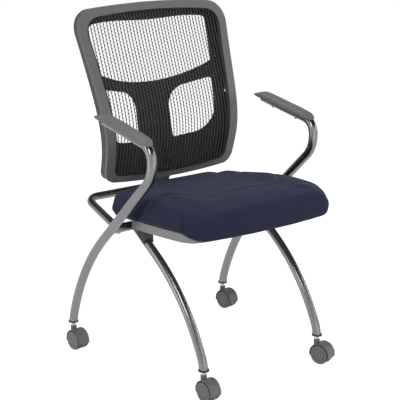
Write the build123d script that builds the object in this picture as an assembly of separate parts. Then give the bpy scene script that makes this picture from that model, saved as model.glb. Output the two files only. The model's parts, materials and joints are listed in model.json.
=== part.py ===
from build123d import *
import math
import os

# Nesting chair with a flip-up seat. Millimetres; +X sitter's left seen from behind, +Y back, +Z up.
# The origin is on the floor, at the centre of the whole chair's plan.

# ---------------------------------------------------------------- frame tubes
ARM_X = 275.0                # arm tube plane, either side of the middle
ARM_TUBE_D = 25.0
LEG_X = 200.0                # front leg plane
LEG_TUBE_D = 24.0
HOOP_TUBE_D = 22.0
TUBE_WALL = 2.0
LEG_END_Z = 80.0             # height at which every leg tube is cut
REAR_STEM_Y = 271.0          # rear caster stems
FRONT_STEM_Y = -235.0        # front caster stems
LEG_FOOT_ANGLE = 80.0        # slope of the last stretch of each leg
LEG_FOOT_LENGTH = 20.0
LEG_FOOT_SHARE = 0.5         # of the straight under the knee's bend, taken by the foot's bend

ARM_TOP_SLOPE = 10.5         # rise of the top run towards the back, degrees
ARM_FRONT_Y = -121.5         # upright stretch at the front of the arm
ARM_CORNER_Z = 651.0
ARM_CORNER_BEND = 42.0
ARM_ELBOW_Z = 576.3
ARM_ELBOW_BEND = 80.0
ARM_KNEE = (211.2, 260.1)    # (y, z) where the sloping run and the rear leg would meet
ARM_KNEE_BEND = 600.0
ARM_TOP_RUN = 212.0          # length of the top run, along its slope

PIVOT_Y = 65.0               # cross tube, on which the seat turns
PIVOT_Z = 398.0
CROSS_TUBE_D = 25.0
LEG_KNEE = (-154.5, 257.5)   # (y, z) where the two straight lines of a front leg would meet
LEG_KNEE_BEND = 520.0

HOOP_BACK_Y = 255.0          # crossbar behind the seat
HOOP_BACK_Z = 437.0
HOOP_CORNER_X = 230.0
HOOP_END_X = 250.5
HOOP_END_Z = 392.0
HOOP_BEND = 42.0

# ---------------------------------------------------------------- casters
WHEEL_D = 55.0
WHEEL_W = 14.0
WHEEL_GAP = 4.6              # web side to wheel side: half the web and its clearance
CASTER_TRAIL = 18.0
WHEEL_RIM = 2.0              # rounding of the tread
AXLE_D = 6.0
HOOD_GAP = 1.2
HOOD_WALL = 2.4
HOOD_W = 35.0
WEB_W = 8.4
STEM_D = 8.0
STEM_NECK_D = 11.0
BOSS_D = 17.0
BOSS_TOP_Z = 64.0
STEM_DEPTH = 20.0            # how far the stem goes into the leg plug
PLUG_END = 8.0               # plug above the end of the stem
FLANGE_D = 29.0
FLANGE_T = 4.0
RUNNING_FIT = 0.05           # radial clearance of pins and bushes
CASTER_SWIVEL = {"front_right": 2.0, "front_left": 15.0, "rear_right": 5.0, "rear_left": 8.0}

# ---------------------------------------------------------------- seat
SEAT_TILT = 4.0              # front edge up, degrees
SEAT_REAR = 116.0            # edges of the cushion from the pivot, along the seat
SEAT_FRONT = -350.0
SEAT_REAR_HALF = 226.0
SEAT_FRONT_HALF = 242.0
SEAT_FRONT_SHOULDER = -237.0
SEAT_SIDE_BOW = 3.0
SEAT_FRONT_BOW = 12.0
SEAT_REAR_BOW = 8.0
SEAT_REAR_CORNER = 54.0
SEAT_FRONT_CORNER = 58.0
CUSHION_LIP = 5.0            # heights above the pivot, square to the seat
CUSHION_WIDEST = 38.0
CUSHION_SHOULDER = 69.0
CUSHION_ROLL = 81.0
CUSHION_CROWN = 89.0
CUSHION_LIP_IN = 7.0         # how far each height lies inside the widest outline
CUSHION_SHOULDER_IN = 6.0
CUSHION_ROLL_IN = 16.0
CUSHION_TOP_IN = 42.0
CUSHION_DOME_R = 3000.0      # crown
LIP_START = -240.0           # in front of this the cloth wraps down over the pan
LIP_FULL = -292.0
BOARD_T = 10.0
BOARD_INSET = 34.0
PAN_TOP = 23.7
PAN_PLATE_T = 3.0
PAN_WALL = 3.0
PAN_INSET = 6.0
PAN_LIP = 18.0               # further back at the front, behind the cushion's lip
PAN_SKIRT_REAR = -28.0       # the side skirt starts in front of the cross tube
PAN_SKIRT_LOW = 0.5
PAN_SKIRT_FRONT = (-285.0, 9.0)
PAN_SCREW_PLACES = [(s * 150.0, y) for s in (-1, 1) for y in (-120.0, -250.0)] + [(0.0, 70.0), (0.0, -250.0)]
SOFT_GAP = 0.3

BRACKET_X = 150.0            # pivot brackets under the seat
BRACKET_W = 28.0
BRACKET_HOUSING_D = 39.0
BRACKET_FLANGE = (64.0, 78.0, 4.0)
BRACKET_HOLES = [(dx, dy) for dx in (-20.0, 20.0) for dy in (-28.0, 28.0)]
BUSH_D = 31.0
BUSH_L = 34.0
REST_Y = -48.0               # seat rests, from the pivot along the seat
REST_SIZE = (32.0, 26.0)     # across and along the seat
REST_PAD_T = 3.0
REST_LIFT = 4.0              # underside of the rests above the leg's centreline
SCREW_D = 5.0
SCREW_HEAD_D = 9.5
SCREW_HEAD_T = 3.0

# ---------------------------------------------------------------- back
# heights on the back are shares of the height between these two
BACK_BOTTOM_Z = 482.0
BACK_TOP_Z = 968.0
# (height share, front of the bezel, spine of the shell)
BACK_STATIONS = [(-0.015, 175, 199), (0.12, 161, 226), (0.243, 149, 244), (0.366, 153, 256),
                 (0.53, 176, 268), (0.86, 235, 279), (1.015, 258, 285)]
BACK_BOTTOM_SAG = 13.0
BACK_TOP_RISE = 14.0
BACK_BOTTOM_HALF = 221.0
BACK_WAIST = (231.0, 0.387)
BACK_TOP_HALF = 259.0
BACK_BOTTOM_CORNER = 36.0
BACK_TOP_CORNER = 60.0
BEZEL_SIDE = 29.0
BEZEL_TOP = 22.0
BEZEL_BOTTOM = 18.0
BEZEL_T = 9.0
RIM_DEPTH = 21.0
RIM_INSET = 3.0
RIM_WALL = 13.0
SHELL_T = 4.0
MESH_T = 1.0
MESH_DEPTH = 4.5             # mesh face behind the front of the bezel
MESH_TUCK = 5.0
MESH_CELLS = (8, 8)          # openings across and up
MESH_STRIP = 7.0             # left between them
UPPER_WINDOW_HALF = 201.0
UPPER_WINDOW_END = 0.887
UPPER_WINDOW_SHOULDER = (0.65, 0.899)
UPPER_WINDOW_DIP = 0.891
UPPER_WINDOW_SIDE = 0.63
UPPER_WINDOW_LOW = 0.533
UPPER_WINDOW_CORNER = 14.0
LOWER_WINDOW = [(58, 0.196), (187, 0.227), (193, 0.535), (56, 0.474)]
LOWER_WINDOW_ROUNDS = (5.0, 78.0, 8.0, 60.0)
BACK_BRACKET_W = 90.0
BACK_BRACKET_T = 6.0
BACK_BRACKET_TOP = 562.0
BACK_BRACKET_MIDDLE = 540.0
BACK_BRACKET_KNEE = (216.0, 495.0)
BACK_BOLT_D = 8.0
BACK_BOLT_PLACES = [(x, z) for x in (-26.0, 26.0) for z in (518.0, 546.0)]
BACK_BOSS_D = 18.0
BACK_BOSS_L = 10.0
SHELL_SCREW_D = 4.0
SHELL_SCREW_HEAD_D = 8.0
SHELL_SCREW_BITE = 4.5       # into the bezel
SHELL_SCREW_SINK = 2.0
SHELL_SCREW_LEVELS = (0.16, 0.45, 0.757)
SHELL_SCREW_X = 110.0        # of the two at the top and the two at the bottom

# ---------------------------------------------------------------- arm pads
PAD_W = 42.0
PAD_FRONT = 3.0              # along the top run, from the front corner of the tube
PAD_REAR = 241.0
PAD_TOP = 18.0               # above the tube's centreline
PAD_LOW = 1.6
PAD_SHOULDER_R = 8.5
PAD_FRONT_ROLL = 40.0
PAD_REAR_ROLL = 30.0
PAD_TIP = 6.0
PAD_TIP_T = 3.0
PAD_NOSE = 50.0              # length of the plan's oval nose
PAD_TAIL = 12.0
PAD_SCREWS = (70.0, 170.0)
PAD_SCREW_D = 4.0
PAD_SCREW_HEAD_D = 8.0
PAD_SCREW_TIP = 14.0
CAP_T = 1.6
CAP_DEPTH = 10.0

FAR = 600.0                  # clear of every piece
SIDES = {"right": -1, "left": 1}
parts = {}


# ---------------------------------------------------------------- helpers
def bent_path(points, bends):
    """Straight runs through the points, each inner corner rounded to its bend radius."""
    points = [Vector(*p) for p in points]
    edges = []
    start = points[0]
    for before, corner, after, bend in zip(points, points[1:], points[2:], bends):
        inward = (before - corner).normalized()
        outward = (after - corner).normalized()
        half = math.radians(inward.get_angle(outward)) / 2
        reach = bend / math.tan(half)
        middle = corner + (inward + outward).normalized() * (bend / math.sin(half) - bend)
        entry = corner + inward * reach
        leave = corner + outward * reach
        edges.append(Line(start, entry))
        edges.append(ThreePointArc(entry, middle, leave))
        start = leave
    edges.append(Line(start, points[-1]))
    return Wire([e.edge() if hasattr(e, "edge") else e for e in edges])


def rod(path, diameter):
    """Solid round bar along a path."""
    begin = Plane(origin=path @ 0, z_dir=path % 0)
    return sweep(begin * Circle(diameter / 2), path=path)


def tube(path, diameter):
    """Round tube of the common wall along a path."""
    return rod(path, diameter) - rod(path, diameter - 2 * TUBE_WALL)


def at_side(x, points):
    return [(x, y, z) for y, z in points]


def cylinder_x(y, z, diameter, x0, x1):
    return Pos((x0 + x1) / 2, y, z) * Rot(0, 90, 0) * Cylinder(diameter / 2, abs(x1 - x0))


def cylinder_z(x, y, z0, z1, diameter):
    return Pos(x, y, (z0 + z1) / 2) * Cylinder(diameter / 2, z1 - z0)


def block(x0, x1, y0, y1, z0, z1):
    return Pos((x0 + x1) / 2, (y0 + y1) / 2, (z0 + z1) / 2) * Box(x1 - x0, y1 - y0, z1 - z0)


def cylinder_y(y0, y1, diameter):
    return Pos(0, (y0 + y1) / 2, 0) * Rot(90, 0, 0) * Cylinder(diameter / 2, abs(y1 - y0))


def below(z):
    return block(-FAR, FAR, -FAR, FAR, z - FAR, z)


def mirrored(shape):
    return mirror(shape, about=Plane.YZ)


def foot_points(stem_y, direction):
    """Last two corners of a leg: it ends under LEG_END_Z, over its caster stem."""
    run = LEG_FOOT_LENGTH + FLANGE_T
    dy = run * math.cos(math.radians(LEG_FOOT_ANGLE))
    dz = run * math.sin(math.radians(LEG_FOOT_ANGLE))
    end_z = LEG_END_Z - FLANGE_T
    return (stem_y - direction * dy, end_z + dz), (stem_y, end_z)


# ---------------------------------------------------------------- frame
def arm_points():
    slope = math.radians(ARM_TOP_SLOPE)
    rear = (ARM_FRONT_Y + ARM_TOP_RUN * math.cos(slope), ARM_CORNER_Z + ARM_TOP_RUN * math.sin(slope))
    ankle, foot = foot_points(REAR_STEM_Y, 1)
    return [rear, (ARM_FRONT_Y, ARM_CORNER_Z), (ARM_FRONT_Y, ARM_ELBOW_Z), ARM_KNEE, ankle, foot]


def foot_bend(points, knee_bend):
    """Bend radius at the ankle, from the straight that the knee's bend leaves free."""
    before, knee, ankle, foot = [Vector(0, y, z) for y, z in points[-4:]]
    knee_half = math.radians((knee - before).get_angle(ankle - knee)) / 2
    ankle_half = math.radians((ankle - knee).get_angle(foot - ankle)) / 2
    free = (ankle - knee).length - knee_bend * math.tan(knee_half)
    return LEG_FOOT_SHARE * free / math.tan(ankle_half)


def arm_path(x):
    points = arm_points()
    bends = [ARM_CORNER_BEND, ARM_ELBOW_BEND, ARM_KNEE_BEND, foot_bend(points, ARM_KNEE_BEND)]
    return bent_path(at_side(x, points), bends)


def leg_path(x):
    ankle, foot = foot_points(FRONT_STEM_Y, -1)
    points = [(PIVOT_Y, PIVOT_Z), LEG_KNEE, ankle, foot]
    return bent_path(at_side(x, points), [LEG_KNEE_BEND, foot_bend(points, LEG_KNEE_BEND)])


def hoop_path():
    side = [(HOOP_END_X, PIVOT_Y, HOOP_END_Z), (HOOP_CORNER_X, HOOP_BACK_Y, HOOP_BACK_Z)]
    other = [(-x, y, z) for x, y, z in reversed(side)]
    return bent_path(side + other, [HOOP_BEND, HOOP_BEND])


def build_frame():
    arm_bar = {side: rod(arm_path(s * ARM_X), ARM_TUBE_D) for side, s in SIDES.items()}
    both_arms = arm_bar["left"] + arm_bar["right"]
    cross_bar = cylinder_x(PIVOT_Y, PIVOT_Z, CROSS_TUBE_D, -ARM_X, ARM_X)
    cross_bore = cylinder_x(PIVOT_Y, PIVOT_Z, CROSS_TUBE_D - 2 * TUBE_WALL, -ARM_X, ARM_X)
    parts["cross_tube"] = cross_bar - cross_bore - both_arms
    for side, s in SIDES.items():
        parts["arm_tube_" + side] = tube(arm_path(s * ARM_X), ARM_TUBE_D) - below(LEG_END_Z)
        parts["front_leg_" + side] = tube(leg_path(s * LEG_X), LEG_TUBE_D) - cross_bar - below(LEG_END_Z)
        parts["front_leg_" + side] = largest(parts["front_leg_" + side])
    hoop = tube(hoop_path(), HOOP_TUBE_D) - both_arms - cross_bar
    parts["back_hoop"] = largest(hoop)


def largest(shape):
    return max(shape.solids(), key=lambda solid: solid.volume)


# ---------------------------------------------------------------- legs' ends and casters
def build_plug(name, x, stem_y, path, tube_d):
    """Plug that fills the end of a leg tube and takes the caster stem."""
    top = LEG_END_Z + STEM_DEPTH + PLUG_END
    body = rod(path, tube_d - 2 * TUBE_WALL) & block(x - tube_d, x + tube_d, -FAR, FAR, LEG_END_Z, top)
    flange = cylinder_z(x, stem_y, LEG_END_Z - FLANGE_T, LEG_END_Z, FLANGE_D)
    lip = cylinder_z(x, stem_y, LEG_END_Z - FLANGE_T, LEG_END_Z + STEM_DEPTH, STEM_D + 2 * RUNNING_FIT)
    neck = cylinder_z(x, stem_y, LEG_END_Z - FLANGE_T - 1, LEG_END_Z - FLANGE_T + 2, STEM_NECK_D + 1)
    parts[name] = body + flange - lip - neck


def turned(shape, x, y, angle):
    """Turn a caster piece about its stem."""
    return Pos(x, y, 0) * Rot(0, 0, angle) * shape


def caster_pieces():
    """One caster about its own stem axis, wheels trailing towards the front."""
    y = -CASTER_TRAIL
    z = WHEEL_D / 2
    inner_r = WHEEL_D / 2 + HOOD_GAP
    outer_r = inner_r + HOOD_WALL
    arch = cylinder_x(y, z, 2 * outer_r, -HOOD_W / 2, HOOD_W / 2)
    arch = arch - cylinder_x(y, z, 2 * inner_r, -HOOD_W / 2, HOOD_W / 2)
    arch = arch - block(-60, 60, y - 60, y + 60, z - 60, z - 7)
    web = cylinder_x(y, z, 2 * inner_r + 1, -WEB_W / 2, WEB_W / 2) - block(-60, 60, y - 60, y + 60, -60, 8)
    boss = cylinder_z(0, 0, z, BOSS_TOP_Z, BOSS_D)
    room = cylinder_x(y, z, 2 * inner_r, WEB_W / 2, 40) + cylinder_x(y, z, 2 * inner_r, -40, -WEB_W / 2)
    bore = cylinder_z(0, 0, z + 6, BOSS_TOP_Z + 1, STEM_D)
    axle_bore = cylinder_x(y, z, AXLE_D, -20, 20)
    hood = arch + web + (boss - room) - bore - axle_bore
    stem = cylinder_z(0, 0, z + 6, LEG_END_Z - FLANGE_T + STEM_DEPTH, STEM_D)
    stem = stem + cylinder_z(0, 0, BOSS_TOP_Z, LEG_END_Z - FLANGE_T + 1.5, STEM_NECK_D)
    axle_half = WHEEL_GAP + WHEEL_W - 2
    axle = cylinder_x(y, z, AXLE_D, -axle_half, axle_half)
    wheels = {}
    for side, s in SIDES.items():
        wheel = cylinder_x(y, z, WHEEL_D, s * WHEEL_GAP, s * (WHEEL_GAP + WHEEL_W))
        wheel = fillet(wheel.edges().filter_by(GeomType.CIRCLE), WHEEL_RIM)
        hole = cylinder_x(y, z, AXLE_D + 2 * RUNNING_FIT, s * WHEEL_GAP, s * (axle_half + 0.4))
        wheels[side] = wheel - hole
    return hood, stem, axle, wheels


def build_casters():
    hood, stem, axle, wheels = caster_pieces()
    for end, stem_y in (("front", FRONT_STEM_Y), ("rear", REAR_STEM_Y)):
        for side, s in SIDES.items():
            corner = end + "_" + side
            x = s * (LEG_X if end == "front" else ARM_X)
            tube_d = LEG_TUBE_D if end == "front" else ARM_TUBE_D
            path = leg_path(x) if end == "front" else arm_path(x)
            angle = CASTER_SWIVEL[corner]
            build_plug("leg_plug_" + corner, x, stem_y, path, tube_d)
            parts["caster_hood_" + corner] = turned(hood, x, stem_y, angle)
            parts["caster_stem_" + corner] = turned(stem, x, stem_y, angle)
            parts["caster_axle_" + corner] = turned(axle, x, stem_y, angle)
            for wheel_side, wheel in wheels.items():
                parts["wheel_" + wheel_side + "_" + corner] = turned(wheel, x, stem_y, angle)


# ---------------------------------------------------------------- seat
def seated(shape):
    """Lay a piece that was built flat, about the pivot, onto the tilted seat."""
    return Pos(0, PIVOT_Y, PIVOT_Z) * Rot(-SEAT_TILT, 0, 0) * shape


def seat_outline(inset, lip=0.0):
    """Plan of the seat, drawn in by the inset and, at the front, by the lip; wider at the front."""
    rear = SEAT_REAR - inset
    front = SEAT_FRONT + inset + lip
    rear_half = SEAT_REAR_HALF - inset
    front_half = SEAT_FRONT_HALF - inset
    shoulder = SEAT_FRONT_SHOULDER + inset
    share = 1 - inset / SEAT_REAR_HALF
    middle_half = (rear_half + front_half) / 2 + SEAT_SIDE_BOW
    middle_y = (rear + shoulder) / 2
    rear_corner = SEAT_REAR_CORNER * share
    front_corner = SEAT_FRONT_CORNER * share
    corner_front = front + SEAT_FRONT_BOW
    cut = 1 - math.sqrt(0.5)
    right_side = [
        ThreePointArc((0, rear), (rear_half * 0.45, rear - SEAT_REAR_BOW * 0.25),
                      (rear_half - rear_corner, rear - SEAT_REAR_BOW)),
        ThreePointArc((rear_half - rear_corner, rear - SEAT_REAR_BOW),
                      (rear_half - rear_corner * cut, rear - SEAT_REAR_BOW - rear_corner * cut),
                      (rear_half, rear - SEAT_REAR_BOW - rear_corner)),
        ThreePointArc((rear_half, rear - SEAT_REAR_BOW - rear_corner), (middle_half, middle_y),
                      (front_half, shoulder)),
        Spline((front_half, shoulder),
               (front_half - front_corner * cut, shoulder - (shoulder - corner_front) * math.sqrt(0.5)),
               (front_half - front_corner, corner_front), tangents=[(0, -1), (-1, -0.12)]),
        ThreePointArc((front_half - front_corner, corner_front),
                      (front_half * 0.4, front + SEAT_FRONT_BOW * 0.25), (0, front)),
    ]
    half = Wire([edge.edge() for edge in right_side])
    whole = Wire(list(half.edges()) + list(mirrored(half).edges()))
    return whole


def seat_slab(inset, low, high, lip=0.0):
    return extrude(Pos(0, 0, low) * Face(seat_outline(inset, lip)), amount=high - low, dir=(0, 0, 1))


def side_prism(points, half_width):
    """A side view, given as (y, z), pushed out to both sides."""
    return extrude(Plane.YZ * make_face(Polyline(*points, close=True)), amount=half_width, both=True)


def build_cushion():
    levels = [
        (CUSHION_LIP, CUSHION_LIP_IN),
        (CUSHION_WIDEST, 0),
        (CUSHION_SHOULDER, CUSHION_SHOULDER_IN),
        (CUSHION_ROLL, CUSHION_ROLL_IN),
        (CUSHION_CROWN, CUSHION_TOP_IN),
    ]
    sections = [Pos(0, 0, height) * Face(seat_outline(inset)) for height, inset in levels]
    middle_y = (SEAT_REAR + SEAT_FRONT) / 2
    dome = Pos(0, middle_y, CUSHION_CROWN - CUSHION_DOME_R) * Sphere(CUSHION_DOME_R)
    seam = PAN_TOP + SOFT_GAP
    under = [(LIP_START, seam), (LIP_FULL, CUSHION_LIP), (LIP_FULL, -FAR), (FAR, -FAR), (FAR, seam)]
    cushion = (loft(sections) & dome) - side_prism(under, FAR)
    cushion = cushion - seat_slab(PAN_INSET - SOFT_GAP, -FAR, seam, PAN_LIP - SOFT_GAP)
    recess = seat_slab(BOARD_INSET - SOFT_GAP, seam - 1, PAN_TOP + BOARD_T + SOFT_GAP)
    parts["seat_cushion"] = seated(cushion - recess)


def screw(diameter, head_d, length):
    """Pan-head screw, head at z = 0 and shank upwards."""
    head = cylinder_z(0, 0, -SCREW_HEAD_T, 0, head_d)
    head = fillet(head.edges().sort_by(Axis.Z)[0], SCREW_HEAD_T * 0.4)
    drive = Pos(0, 0, -SCREW_HEAD_T) * extrude(RegularPolygon(diameter * 0.4, 6), amount=1.6)
    return head + cylinder_z(0, 0, 0, length, diameter) - drive


def build_seat():
    plate_low = PAN_TOP - PAN_PLATE_T
    hole_places = [(s * BRACKET_X + dx, dy) for s in SIDES.values() for dx, dy in BRACKET_HOLES]
    plate = seat_slab(PAN_INSET, plate_low, PAN_TOP, PAN_LIP)
    skirt = seat_slab(PAN_INSET, PAN_SKIRT_LOW, plate_low + 1, PAN_LIP)
    skirt = skirt - seat_slab(PAN_INSET + PAN_WALL, -FAR, FAR, PAN_LIP)
    side_view = [(PAN_SKIRT_REAR, plate_low + 1), (PAN_SKIRT_REAR, PAN_SKIRT_LOW), (PAN_SKIRT_FRONT[0], PAN_SKIRT_LOW),
                 (SEAT_FRONT, PAN_SKIRT_FRONT[1]), (SEAT_FRONT, plate_low + 1)]
    skirt = skirt & side_prism(side_view, FAR)
    pan = plate + skirt
    board = seat_slab(BOARD_INSET, PAN_TOP, PAN_TOP + BOARD_T)
    for x, y in hole_places + PAN_SCREW_PLACES:
        drill = cylinder_z(x, y, plate_low - 5, PAN_TOP + BOARD_T - 1, SCREW_D)
        pan = pan - drill
        board = board - drill
    parts["seat_pan"] = seated(pan)
    parts["seat_board"] = seated(board)
    build_cushion()

    flange_x, flange_y, flange_t = BRACKET_FLANGE
    flange_low = plate_low - flange_t
    for side, s in SIDES.items():
        x = s * BRACKET_X
        x0 = x - BRACKET_W / 2
        x1 = x + BRACKET_W / 2
        flange = block(x - flange_x / 2, x + flange_x / 2, -flange_y / 2, flange_y / 2, flange_low, plate_low)
        housing = cylinder_x(0, 0, BRACKET_HOUSING_D, x0, x1)
        web = block(x0, x1, -BRACKET_HOUSING_D / 2, BRACKET_HOUSING_D / 2, 0, flange_low)
        bracket = (housing + web) - block(x0 - 1, x1 + 1, -60, 60, flange_low, 80) + flange
        bracket = bracket - cylinder_x(0, 0, BUSH_D, x0 - 1, x1 + 1)
        for dx, dy in BRACKET_HOLES:
            bracket = bracket - cylinder_z(x + dx, dy, flange_low - 1, plate_low + 1, SCREW_D)
        bush = cylinder_x(0, 0, BUSH_D, x - BUSH_L / 2, x + BUSH_L / 2)
        bush = bush - cylinder_x(0, 0, CROSS_TUBE_D + 2 * RUNNING_FIT, x - BUSH_L / 2, x + BUSH_L / 2)
        parts["pivot_bracket_" + side] = seated(bracket)
        parts["pivot_bush_" + side] = seated(bush)

    one_screw = screw(SCREW_D, SCREW_HEAD_D, BOARD_T)
    long_screw = screw(SCREW_D, SCREW_HEAD_D, BOARD_T + flange_t)
    bracket_screws = [Pos(x, y, flange_low) * long_screw for x, y in hole_places]
    edge_screws = [Pos(x, y, plate_low) * one_screw for x, y in PAN_SCREW_PLACES]
    parts["bracket_screws"] = seated(Compound(bracket_screws))
    parts["pan_screws"] = seated(Compound(edge_screws))
    build_seat_rests(plate_low)


def build_seat_rests(plate_low):
    """Blocks under the pan that sit on the front legs through a rubber pad."""
    width, depth = REST_SIZE
    slope = math.atan2(PIVOT_Z - LEG_KNEE[1], PIVOT_Y - LEG_KNEE[0])
    leg_z = PIVOT_Z + REST_Y * math.tan(slope)
    for side, s in SIDES.items():
        x = s * LEG_X
        blank = seated(block(x - width / 2, x + width / 2, REST_Y - depth / 2, REST_Y + depth / 2, -FAR / 4, plate_low))
        under = Pos(0, 0, REST_LIFT - FAR / 2) * Box(2 * width, FAR, FAR)
        blank = blank - Pos(x, PIVOT_Y + REST_Y, leg_z) * Rot(math.degrees(slope), 0, 0) * under
        near_leg = rod(leg_path(x), LEG_TUBE_D + 2 * SOFT_GAP)
        padding = rod(leg_path(x), LEG_TUBE_D + 2 * SOFT_GAP + 2 * REST_PAD_T)
        parts["seat_rest_" + side] = largest(blank - padding)
        parts["rest_pad_" + side] = largest((blank & padding) - near_leg)


# ---------------------------------------------------------------- back
def back_z(share):
    return BACK_BOTTOM_Z + share * (BACK_TOP_Z - BACK_BOTTOM_Z)


def back_curve(shift):
    """Side view of the bezel's front, moved back by the shift."""
    return Spline(*[(front + shift, back_z(share)) for share, front, spine in BACK_STATIONS])


def profile_y(z, shift):
    """Depth of the bezel's side view at one height."""
    curve = back_curve(shift)
    low, high = 0.0, 1.0
    for _ in range(40):
        middle = (low + high) / 2
        if (curve @ middle).Y < z:
            low = middle
        else:
            high = middle
    return (curve @ low).X


def back_slab(front, rear):
    """Everything between two copies of the side view."""
    near = back_curve(front)
    far = back_curve(rear)
    face = make_face(Wire([near.edge(), far.edge(), Line(near @ 0, far @ 0).edge(), Line(near @ 1, far @ 1).edge()]))
    return extrude(Plane.YZ * face, amount=300, both=True)


def back_face(side, top, bottom):
    """Front view of the back, each edge drawn in by its own inset."""
    low_half = BACK_BOTTOM_HALF - side
    high_half = BACK_TOP_HALF - side
    low_z = BACK_BOTTOM_Z + BACK_BOTTOM_SAG + bottom
    high_z = BACK_TOP_Z - BACK_TOP_RISE - top
    waist_x = BACK_WAIST[0]
    waist_z = back_z(BACK_WAIST[1])
    lower = ThreePointArc((-low_half, low_z), (0, BACK_BOTTOM_Z + bottom), (low_half, low_z))
    upper = ThreePointArc((-high_half, high_z), (0, BACK_TOP_Z - top), (high_half, high_z))
    left = ThreePointArc((low_half, low_z), (waist_x - side, waist_z), (high_half, high_z))
    right = ThreePointArc((-low_half, low_z), (side - waist_x, waist_z), (-high_half, high_z))
    face = make_face(Wire([lower.edge(), left.edge(), upper.edge(), right.edge()]))
    corners = face.vertices().sort_by(Axis.Y)
    face = fillet(corners[:2], BACK_BOTTOM_CORNER - side * 0.6)
    corners = face.vertices().sort_by(Axis.Y)
    return fillet(corners[-2:], BACK_TOP_CORNER - side * 0.6)


def through(face):
    """A front-view shape pushed right through the back."""
    return extrude(Plane.XZ * face, amount=FAR, both=True)


def upper_window():
    half = UPPER_WINDOW_HALF
    shoulder = (half * UPPER_WINDOW_SHOULDER[0], back_z(UPPER_WINDOW_SHOULDER[1]))
    end_z = back_z(UPPER_WINDOW_END)
    side_z = back_z(UPPER_WINDOW_SIDE)
    top = Spline((-half, end_z), (-shoulder[0], shoulder[1]), (0, back_z(UPPER_WINDOW_DIP)), shoulder, (half, end_z))
    bottom = ThreePointArc((-half, side_z), (0, back_z(UPPER_WINDOW_LOW)), (half, side_z))
    sides = [Line(top @ 0, bottom @ 0), Line(top @ 1, bottom @ 1)]
    face = make_face(Wire([top.edge(), bottom.edge()] + [line.edge() for line in sides]))
    return fillet(face.vertices(), UPPER_WINDOW_CORNER)


def lower_window(s):
    corners = [(s * x, back_z(share)) for x, share in LOWER_WINDOW]
    face = make_face(Polyline(*corners, close=True))
    for (x, z), bend in zip(corners, LOWER_WINDOW_ROUNDS):
        corner = face.vertices().sort_by_distance((x, z, 0))[0]
        face = fillet(corner, bend)
    return face


def mesh_cells():
    """Front view of the openings in the mesh, evenly spaced inside the bezel."""
    columns, rows = MESH_CELLS
    pitch_x = 2 * (BACK_TOP_HALF - BEZEL_SIDE) / columns
    pitch_z = (back_z(1) - back_z(0) - BEZEL_TOP - BEZEL_BOTTOM) / rows
    middle_z = (back_z(1) - BEZEL_TOP + back_z(0) + BEZEL_BOTTOM) / 2
    cell = Rectangle(pitch_x - MESH_STRIP, pitch_z - MESH_STRIP)
    cells = Sketch() + [place * cell for place in GridLocations(pitch_x, pitch_z, columns, rows)]
    edge = MESH_STRIP / 2
    return Pos(0, middle_z) * cells & back_face(BEZEL_SIDE + edge, BEZEL_TOP + edge, BEZEL_BOTTOM + edge)


def shell_plate():
    """Dished plate: level with the rim at the sides, bowed back to the spine."""
    sections = []
    rim = BEZEL_T + RIM_DEPTH - SHELL_T
    outline = back_face(RIM_INSET, RIM_INSET, RIM_INSET)
    for share, front, spine in BACK_STATIONS:
        z = back_z(share)
        half = BACK_BOTTOM_HALF + (BACK_TOP_HALF - BACK_BOTTOM_HALF) * share
        rows = []
        for depth in (0, SHELL_T):
            side_y = front + rim + depth
            spine_y = spine + depth
            rows.append(ThreePointArc((-half, side_y, z), (0, spine_y, z), (half, side_y, z)))
        ends = [Line(rows[0] @ 0, rows[1] @ 0), Line(rows[0] @ 1, rows[1] @ 1)]
        sections.append(Face(Wire([edge.edge() for edge in rows + ends])))
    return loft(sections) & through(outline)


def back_bolt(length):
    """Hexagon bolt towards the front, its head behind y = 0."""
    head = extrude(RegularPolygon(BACK_BOLT_D * 0.85, 6), amount=-5)
    shank = Cylinder(BACK_BOLT_D / 2, length, align=(Align.CENTER, Align.CENTER, Align.MIN))
    return Rot(90, 0, 0) * (head + shank)


def spine_y(z):
    heights = [back_z(share) for share, front, spine in BACK_STATIONS]
    spines = [spine for share, front, spine in BACK_STATIONS]
    for (z0, z1), (y0, y1) in zip(zip(heights, heights[1:]), zip(spines, spines[1:])):
        if z0 <= z <= z1:
            return y0 + (y1 - y0) * (z - z0) / (z1 - z0)
    return spines[-1]


def shell_screw_places():
    """(x, z) of the screws that hold the shell to the bezel, round the middle of the rim."""
    middle = RIM_INSET + RIM_WALL / 2
    ring = back_face(middle, middle, middle).edges()
    places = []
    for s in SIDES.values():
        for share in SHELL_SCREW_LEVELS:
            z = back_z(share)
            crossing = [e for e in ring if e.bounding_box().min.Y < z < e.bounding_box().max.Y]
            curve = [e for e in crossing if e.center().X * s > 0][0]
            places.append((crossing_x(curve, z), z))
        places.append((s * SHELL_SCREW_X, back_z(1) - middle - BACK_TOP_RISE * 0.2))
        places.append((s * SHELL_SCREW_X, back_z(0) + middle + BACK_BOTTOM_SAG * 0.25))
    return places


def crossing_x(curve, z):
    """Where an upright edge of the front view crosses one height."""
    low, high = (0.0, 1.0) if (curve @ 0).Y < (curve @ 1).Y else (1.0, 0.0)
    for _ in range(40):
        middle = (low + high) / 2
        if (curve @ middle).Y < z:
            low = middle
        else:
            high = middle
    return (curve @ low).X


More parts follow.
